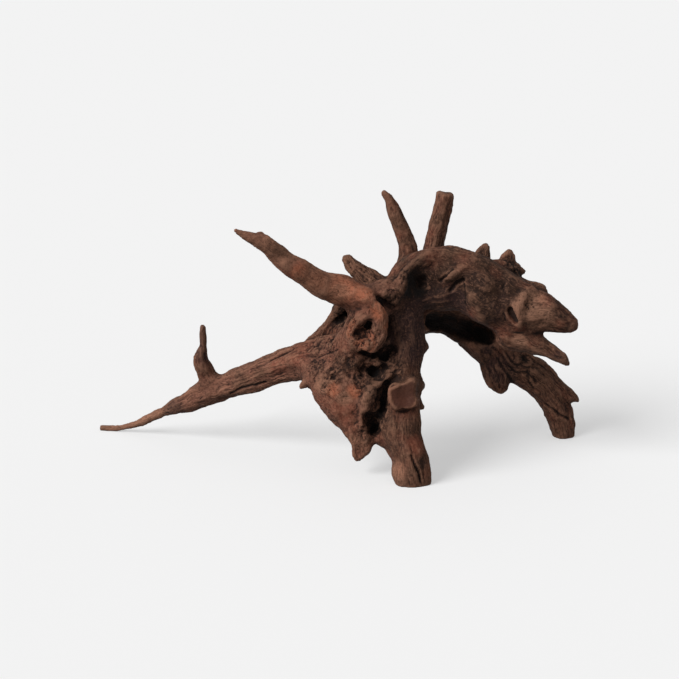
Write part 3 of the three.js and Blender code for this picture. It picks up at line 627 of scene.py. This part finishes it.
for x, y, z, radius, depth in PITS:
    distance = np.linalg.norm(points - (x, y, z), axis=1)
    height -= depth * smooth_step(1.0, 0.0, distance / radius / PIT_SPREAD)
# Each crack is also darkened as painted shade, deeper ones more, over a band a little wider than the
# crack.
crack_shade = np.zeros(point_count)
wobble = CRACK_WOBBLE[1] * waves(points / CRACK_WOBBLE[0], 15)
for half_width, depth, path in CRACKS.values():
    distance = distance_to_path(path) + wobble * half_width
    height -= depth * smooth_step(1.0, 0.0, distance / (CRACK_SPREAD * half_width))
    stain = min(1.0, 0.35 + 0.35 * depth)
    stain = stain * smooth_step(1.0, 0.0, distance / (CRACK_SHADE_SPREAD * half_width))
    crack_shade = np.maximum(crack_shade, stain)

# The feet keep their flat soles, and the relief grows to its full height above them.
SOLE_HEIGHT = 0.6
FOOT_HEIGHT = 5.0

height *= smooth_step(SOLE_HEIGHT, FOOT_HEIGHT, points[:, 2])
points = points + outward() * height[:, None]
points[:, 2] = np.maximum(points[:, 2], 0.0)
skin_out = outward()

# Shelter: how much of the sky each point can't see, from rays sent out over it. It sets the painted shade,
# near black, in the hollows.
RAYS = 20
RAY_START = 0.25
RAY_REACH = 70.0
GOLDEN_TURN = math.pi * (3.0 - math.sqrt(5.0))

skin_faces = [list(face.vertices) for face in wood_mesh.polygons]
skin_tree = BVHTree.FromPolygons([Vector(point) for point in points], skin_faces)
shelter = np.zeros(point_count)
faces_along_x = np.abs(skin_out[:, :1]) > 0.8
sideways = np.cross(skin_out, np.where(faces_along_x, (0.0, 1.0, 0.0), (1.0, 0.0, 0.0)))
sideways /= np.linalg.norm(sideways, axis=1)[:, None]
third_way = np.cross(skin_out, sideways)
starts = points + RAY_START * skin_out
for ray in range(RAYS):
    rise = math.sqrt(1.0 - (ray + 0.5) / RAYS)
    flat = math.sqrt(1.0 - rise * rise)
    turn = ray * GOLDEN_TURN
    heading = rise * skin_out + flat * (math.cos(turn) * sideways + math.sin(turn) * third_way)
    for n in range(point_count):
        hit = skin_tree.ray_cast(Vector(starts[n]), Vector(heading[n]), RAY_REACH)
        if hit[0] is not None:
            shelter[n] += 1.0 - hit[3] / RAY_REACH
shelter = soften(shelter / RAYS, 2)

# How deep each point lies below its surroundings, near by and farther round, in mm.
hollow_fine = ((soften(points, 6) - points) * skin_out).sum(1)
hollow_broad = ((soften(points, 60) - points) * skin_out).sum(1)

# Polished places, where the grain hardly shows: x, y, z and radius in mm.
POLISHED = [
    (4, -39, 46, 9), (1, -38, 38, 6), (48, -47, 27, 8), (46, -46, 20, 5), (58, -4, 132, 8),
    (39, -44, 56, 11), (-8, -38, 123, 8), (12, -34, 119, 6), (-17, -4, 72, 7), (104, -18, 82, 6),
    (16, -40, 84, 4), (70, -8, 128, 10), (94, -14, 112, 8), (68, -12, 106, 9), (-30, -42, 138, 10),
    (8, -38, 54, 7),
]

# Stains, with patches of painted shade and one painted highlight among them: x, y, z and radius in mm of
# the patches of each tint.
TINTS = {
    "red": [
        (-23, -7, 73, 12), (-36, -2, 62, 9), (-22, -43, 130, 10), (37, -47, 10, 6),
        (4, -38, 45, 10), (12, -36, 25, 7), (58, -4, 132, 12), (137, 32, 15, 5), (48, -47, 26, 9),
        (124, -18, 108, 7), (39, 20, 140, 6), (133, -20, 94, 5), (110, -18, 92, 5),
        (76, -6, 128, 11), (92, -8, 120, 9), (84, -14, 100, 8),
    ],
    "orange": [
        (2, -33, 119, 13), (15, -34, 119, 10), (25, -35, 107, 8), (8, -36, 96, 8), (16, -38, 88, 9),
        (17, -37, 85, 7), (-12, -38, 126, 9), (10, -37, 57, 6), (29, -32, 96, 6), (-3, -34, 57, 6),
        (-22, -43, 131, 8),
    ],
    # Plum: the wood's own plum tint, and painted shade on the concave wall in the middle, which lies in
    # shade.
    "plum": [
        (40, -20, 90, 20), (32, -24, 82, 12), (71, -10, 106, 13), (103, 23, 51, 15),
        (135, -18, 71, 9), (94, 22, 66, 8), (45, -22, 78, 15), (96, -14, 100, 6), (66, -2, 108, 13),
        (52, -12, 104, 12), (-104, 32, 22, 12), (50, -14, 92, 12), (34, -27, 98, 7),
        (45, -12, 100, 12), (-84, 20, 66, 14), (-86, 20, 78, 8),
    ],
    "olive": [
        (45, -28, 70, 13), (44, -45, 38, 9), (68, -14, 121, 5), (88, -19, 113, 12),
        (90, 19, 128, 8), (-61, 9, 49, 8), (24, -28, 62, 10), (88, -19, 100, 8), (62, 20, 148, 8),
        (106, -15, 114, 5), (125, 28, 44, 12), (37, -20, 112, 9), (-34, -42, 146, 8),
        (8, 4, 92, 12), (-50, 2, 56, 7), (2, -30, 72, 9), (14, -22, 92, 7), (22, -37, 58, 9),
        (12, -31, 72, 8), (18, -36, 51, 7), (48, -45, 44, 7), (-155, 51, 1, 6), (30, -43, 66, 6),
        (66, -8, 130, 13), (82, -10, 125, 12), (78, -14, 112, 10),
    ],
    # Dark: darker wood, and painted shade on the column, the arch face and other places that lie in shade.
    "dark": [
        (50, -12, 114, 18), (37, -21, 109, 7), (31, -25, 110, 6), (90, 19, 128, 8),
        (84, -17, 120, 10), (44, -30, 52, 8), (-84, 19, 70, 14), (-86, 19, 82, 8), (65, 27, 166, 5),
        (108, 6, 118, 8), (50, -46, 14, 6), (110, 27, 44, 9), (6, -14, 106, 9), (138, -16, 70, 8),
        (24, -30, 66, 8), (24, -30, 44, 7), (20, -30, 34, 7), (8, -30, 72, 5), (62, -8, 108, 10),
        (72, -10, 109, 8), (46, -20, 86, 14), (47, -20, 98, 10), (135, -20, 98, 3),
        (139, -20, 91, 3), (34, -43, 67, 5), (29, -42, 66, 6), (85, -19, 112, 8), (90, -19, 101, 6),
        (15, -24, 92, 5), (20, -26, 95, 4), (22, -38, 58, 7), (20, -27, 90, 5),
    ],
    # Pale: paler wood, and a painted highlight on the lit ridge under the arch.
    "pale": [
        (-122, 37, 15, 24), (-150, 50, 3, 12), (36, -47, 10, 8), (120, -18, 110, 8),
        (12, -36, 24, 8), (33, -52, 28, 6), (-8, -28, 58, 8), (68, -14, 121, 3), (107, -20, 105, 5),
        (4, -36, 52, 6), (110, -17, 82, 7), (-10, -3, 78, 7), (0, -34, 117, 10), (128, -21, 93, 6),
        (-30, -48, 135, 6), (114, -19, 104, 13), (72, -11, 103, 4), (-14, -37, 124, 18),
        (-38, -45, 143, 18), (122, -20, 98, 12),
    ],
    # Painted shade: near-black patches in the pocket under the arch, in the big hollow and in the pits,
    # where shade falls.
    "soot": [
        (48, -15, 119, 11), (50, -14, 112, 8), (44, -17, 112, 7), (59, 20, 83, 11),
        (69, 25, 80, 12), (79, 29, 75, 12), (90, 32, 71, 9), (28, -23, 74, 5), (22, -26, 65, 5),
        (27, -30, 47, 3), (26, -32, 40, 3.5), (23, -29, 31, 4), (25, -23, 107, 4), (119, 28, 57, 4),
        (2, 7, 98, 9),
    ],
}

# What the colour of the wood follows, kept on the skin: how strongly painted shade darkens the dips and
# checks, how soon lines show where it is furrowed, and how far polished and pale places are left out.
FINE_DIP = 2.2
BROAD_DIP = 0.2
CHECK_SHADE = 0.35
FURROW_LINES = 1.7
FEWEST_LINES = 0.3
POLISH_COVERS = 0.8
PALE_COVERS = 0.9

POINT_LOOKS = {
    "wood_shelter": shelter,
    "wood_dip": np.clip(hollow_fine * FINE_DIP + hollow_broad * BROAD_DIP, -1.0, 1.0),
    # Painted shade in the cracks and checks.
    "wood_crack": np.maximum(crack_shade, CHECK_SHADE * crackle),
    "wood_crackled": crackled,
    "wood_cut": stub_cut,
    "wood_rim": stub_rim,
    "wood_lines": (
        np.clip(FURROW_LINES * furrow_depth, FEWEST_LINES, 1.0) * (1.0 - POLISH_COVERS * patches(POLISHED))
    ),
    "wood_upward": soften(skin_out[:, 2], 4) * (1.0 - PALE_COVERS * patches(TINTS["pale"])),
    "wood_pale": paleness,
    "grain_mix": grain_mix,
    **{f"tint_{tint}": patches(places) for tint, places in TINTS.items()},
}
for name, values in POINT_LOOKS.items():
    layer = wood_mesh.attributes.new(name, "FLOAT", "POINT")
    layer.data.foreach_set("value", values.astype(np.float32))
for name, values in {"grain_near": grain_near, "grain_next": grain_next}.items():
    layer = wood_mesh.attributes.new(name, "FLOAT_VECTOR", "POINT")
    layer.data.foreach_set("vector", values.astype(np.float32).ravel())
for face in wood_mesh.polygons:
    face.use_smooth = True
wood_mesh.materials.clear()

# Bare root wood, worn by water and dried: matte brown, redder where it is polished, plum and olive in the
# shade, with fine darker and paler lines along the grain. Shade is painted into it too: nearly black in
# its hollows, darker in its dips, cracks and undersides.
WOOD_TINTS = {
    "deep": "#2d1c15",
    "brown": "#56392b",
    "tan": "#845746",
    "red": "#7d4534",
    "orange": "#a66044",
    "plum": "#332120",
    "olive": "#3e2a1e",
    "dark": "#281811",
    "pale": "#976d57",
    "cut": "#3d2219",
    "line": "#180d09",
    # Near black, for the painted shade in the hollows.
    "soot": "#080504",
}
wood_material, wood_tree = new_material("bare_root_wood")
wood_looks = {
    name: add_node(wood_tree, "ShaderNodeAttribute", {"attribute_name": name}).outputs["Fac"]
    for name in POINT_LOOKS
}
grain_fields = [
    add_node(wood_tree, "ShaderNodeAttribute", {"attribute_name": name}).outputs["Vector"]
    for name in ("grain_near", "grain_next")
]
wood_place = add_node(wood_tree, "ShaderNodeTexCoord").outputs["Object"]

# Patterns drawn out along the grain: width and length in mm, and detail. Real fibres and pores are
# about a tenth of a millimetre wide, too fine to show, so the hair lines are drawn coarser than they
# are on the real wood.
GRAIN_PATTERNS = {
    "streaks": (3.6, 30.0, 4.0),
    "fine lines": (1.0, 14.0, 3.0),
    "hair lines": (0.6, 9.0, 1.0),
}
# Patterns that lie over the grain: size in mm and detail. The stipple stands for the open pores, and
# is also coarser than real ones.
SPOT_PATTERNS = {
    "clouds": (24.0, 3.0),
    "other clouds": (15.0, 3.0),
    "specks": (2.6, 4.0),
    "stipple": (1.4, 2.0),
    "mottle": (6.0, 3.0),
}
for pattern, (width, length, detail) in GRAIN_PATTERNS.items():
    sides = []
    for field in grain_fields:
        sized = add_node(wood_tree, "ShaderNodeMapping", {"vector_type": "POINT"}, {
            "Vector": field, "Scale": (1 / width, 1 / width, 1 / length),
        })
        sides.append(add_node(wood_tree, "ShaderNodeTexNoise", links={
            "Vector": sized.outputs[0], "Scale": 1.0, "Detail": detail, "Roughness": 0.6,
        }).outputs["Fac"])
    wood_looks[pattern] = add_node(wood_tree, "ShaderNodeMix", {"data_type": "FLOAT"}, {
        "Factor": wood_looks["grain_mix"], "A": sides[0], "B": sides[1],
    }).outputs["Result"]
for pattern, (size, detail) in SPOT_PATTERNS.items():
    wood_looks[pattern] = add_node(wood_tree, "ShaderNodeTexNoise", links={
        "Vector": wood_place, "Scale": 1 / (size * MM), "Detail": detail, "Roughness": 0.62,
    }).outputs["Fac"]


def add_up(*parts):
    """The sum of several looks of the wood, each times its share."""
    total = 0.0
    for look, share in parts:
        total = add_node(wood_tree, "ShaderNodeMath", {"operation": "MULTIPLY_ADD"}, {
            0: look, 1: share, 2: total,
        }).outputs[0]
    return total


def stain_and_paint_light(under, tint, look, low, high, most, where=None, way="SMOOTHSTEP"):
    """The colour under a layer of that tint, which comes in where the look goes from low to high. The
    layers are stains of the wood's own colour, and also painted shade and painted highlights.
    """
    falls = low > high
    share = add_node(wood_tree, "ShaderNodeMapRange", {"interpolation_type": way}, {
        "Value": look, "From Min": min(low, high), "From Max": max(low, high),
        "To Min": most if falls else 0.0, "To Max": 0.0 if falls else most,
    }).outputs["Result"]
    if where is not None:
        share = add_up((share, where))
    stained = add_node(wood_tree, "ShaderNodeMix", {"data_type": "RGBA"}, {
        "Factor": share, "A": under, "B": linear(WOOD_TINTS[tint]),
    })
    return stained.outputs["Result"]


# The ground colour, from deep brown to tan along the streaks.
tone = add_up((wood_looks["streaks"], 0.5), (wood_looks["wood_pale"], 0.6))
colour = stain_and_paint_light(linear(WOOD_TINTS["deep"]), "brown", tone, 0.2, 0.55, 1.0)
colour = stain_and_paint_light(colour, "tan", tone, 0.5, 0.95, 1.0)

# Stains, painted shade and painted highlights laid over it in turn: the tint, the look that it follows,
# the values of that look at which it starts and is full, how much there is of it at most, and the look
# that holds it back elsewhere.
CLOUD_STAINS = [
    ("red", "clouds", 0.45, 0.68, 0.5, None),
    ("olive", "other clouds", 0.5, 0.72, 0.45, None),
    ("plum", "other clouds", 0.46, 0.28, 0.35, None),
]
# The patches of each tint, broken up by the specks and streaks: how much there is of it at most.
PATCH_STAINS_AND_PAINTED_LIGHT = {"red": 0.6, "orange": 0.75, "pale": 0.6, "olive": 0.65, "dark": 0.8, "plum": 0.88}
# The upper and lower sides, with painted shade on the lower ones, the lines, specks and pores, the spongy
# places, and the dips and crests.
FINE_STAINS_AND_PAINTED_LIGHT = [
    ("olive", "wood_upward", 0.4, 1.0, 0.48, None),
    # Painted shade: the wood is darker where it faces down.
    ("dark", "wood_upward", -0.1, -0.9, 0.5, None),
    ("line", "fine lines", 0.5, 0.35, 1.0, "wood_lines"),
    ("pale", "fine lines", 0.54, 0.7, 0.45, "wood_lines"),
    ("line", "specks", 0.45, 0.28, 0.8, "wood_lines"),
    ("line", "hair lines", 0.48, 0.36, 0.8, "wood_lines"),
    ("pale", "hair lines", 0.56, 0.66, 0.5, "wood_lines"),
    ("line", "stipple", 0.48, 0.3, 0.5, None),
    ("pale", "stipple", 0.54, 0.72, 0.3, None),
    ("dark", "mottle", 0.52, 0.38, 0.75, "wood_crackled"),
    ("line", "stipple", 0.52, 0.36, 0.8, "wood_crackled"),
    ("pale", "stipple", 0.58, 0.7, 0.5, "wood_crackled"),
    # Painted shade darkens the dips, and a painted highlight lightens the crests.
    ("line", "wood_dip", 0.05, 0.8, 0.85, None),
    ("pale", "wood_dip", -0.1, -0.8, 0.35, None),
]
for tint, look, low, high, most, where in CLOUD_STAINS:
    colour = stain_and_paint_light(colour, tint, wood_looks[look], low, high, most, wood_looks.get(where))
streaky = add_node(wood_tree, "ShaderNodeMapRange", {"interpolation_type": "SMOOTHSTEP"}, {
    "Value": wood_looks["streaks"], "From Min": 0.15, "From Max": 0.6, "To Min": 0.6, "To Max": 1.0,
}).outputs["Result"]
for tint, most in PATCH_STAINS_AND_PAINTED_LIGHT.items():
    patch = add_up((wood_looks["specks"], 0.3), (wood_looks[f"tint_{tint}"], streaky))
    colour = stain_and_paint_light(colour, tint, patch, 0.2, 0.95, most)
for tint, look, low, high, most, where in FINE_STAINS_AND_PAINTED_LIGHT:
    colour = stain_and_paint_light(colour, tint, wood_looks[look], low, high, most, wood_looks.get(where))

# The face of the stub and its rim, then painted shade over all: near black where the wood is sheltered and
# in the patches of painted shade, and dark in the cracks.
colour = stain_and_paint_light(colour, "cut", wood_looks["wood_cut"], 0.0, 1.0, 0.8, way="LINEAR")
colour = stain_and_paint_light(colour, "pale", wood_looks["wood_rim"], 0.0, 1.0, 0.15, way="LINEAR")
colour = stain_and_paint_light(colour, "soot", wood_looks["wood_shelter"], 0.38, 0.85, 0.9)
colour = stain_and_paint_light(colour, "soot", wood_looks["tint_soot"], 0.15, 0.8, 0.93)
colour = stain_and_paint_light(colour, "line", wood_looks["wood_crack"], 0.0, 1.0, 0.85, way="LINEAR")

# Relief finer than the skin's own points: fibres along the grain, and pores where it is spongy.
FIBRE_HEIGHT = 1.5 * MM
fibres = add_up((wood_looks["specks"], 0.7), (wood_looks["fine lines"], 1.1))
pores = add_node(wood_tree, "ShaderNodeMapRange", {"interpolation_type": "SMOOTHSTEP"}, {
    "Value": wood_looks["wood_crackled"], "To Min": 0.2, "To Max": 0.9,
}).outputs["Result"]
relief = add_up(
    (fibres, wood_looks["wood_lines"]), (wood_looks["streaks"], 0.3), (wood_looks["stipple"], pores),
)
bump = add_node(wood_tree, "ShaderNodeBump", links={
    "Strength": 1.0, "Distance": FIBRE_HEIGHT, "Height": relief,
})
# The paler streaks are a little more polished than the dark ones. The open, dry fibres scatter nearly
# all of the shine.
polish = add_node(wood_tree, "ShaderNodeMapRange", {"interpolation_type": "SMOOTHSTEP"}, {
    "Value": wood_looks["streaks"], "From Min": 0.25, "From Max": 0.7, "To Min": 0.95, "To Max": 0.75,
}).outputs["Result"]
wood_shader = add_node(wood_tree, "ShaderNodeBsdfPrincipled", links={
    "Base Color": colour,
    "Roughness": polish,
    "Normal": bump.outputs["Normal"],
    "Specular IOR Level": 0.18,
})
add_node(wood_tree, "ShaderNodeOutputMaterial", links={"Surface": wood_shader.outputs[0]})
wood_mesh.materials.append(wood_material)

driftwood = bpy.data.objects.new("driftwood_wood", wood_mesh)
bpy.context.scene.collection.objects.link(driftwood)
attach(driftwood, "root")
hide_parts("driftwood")
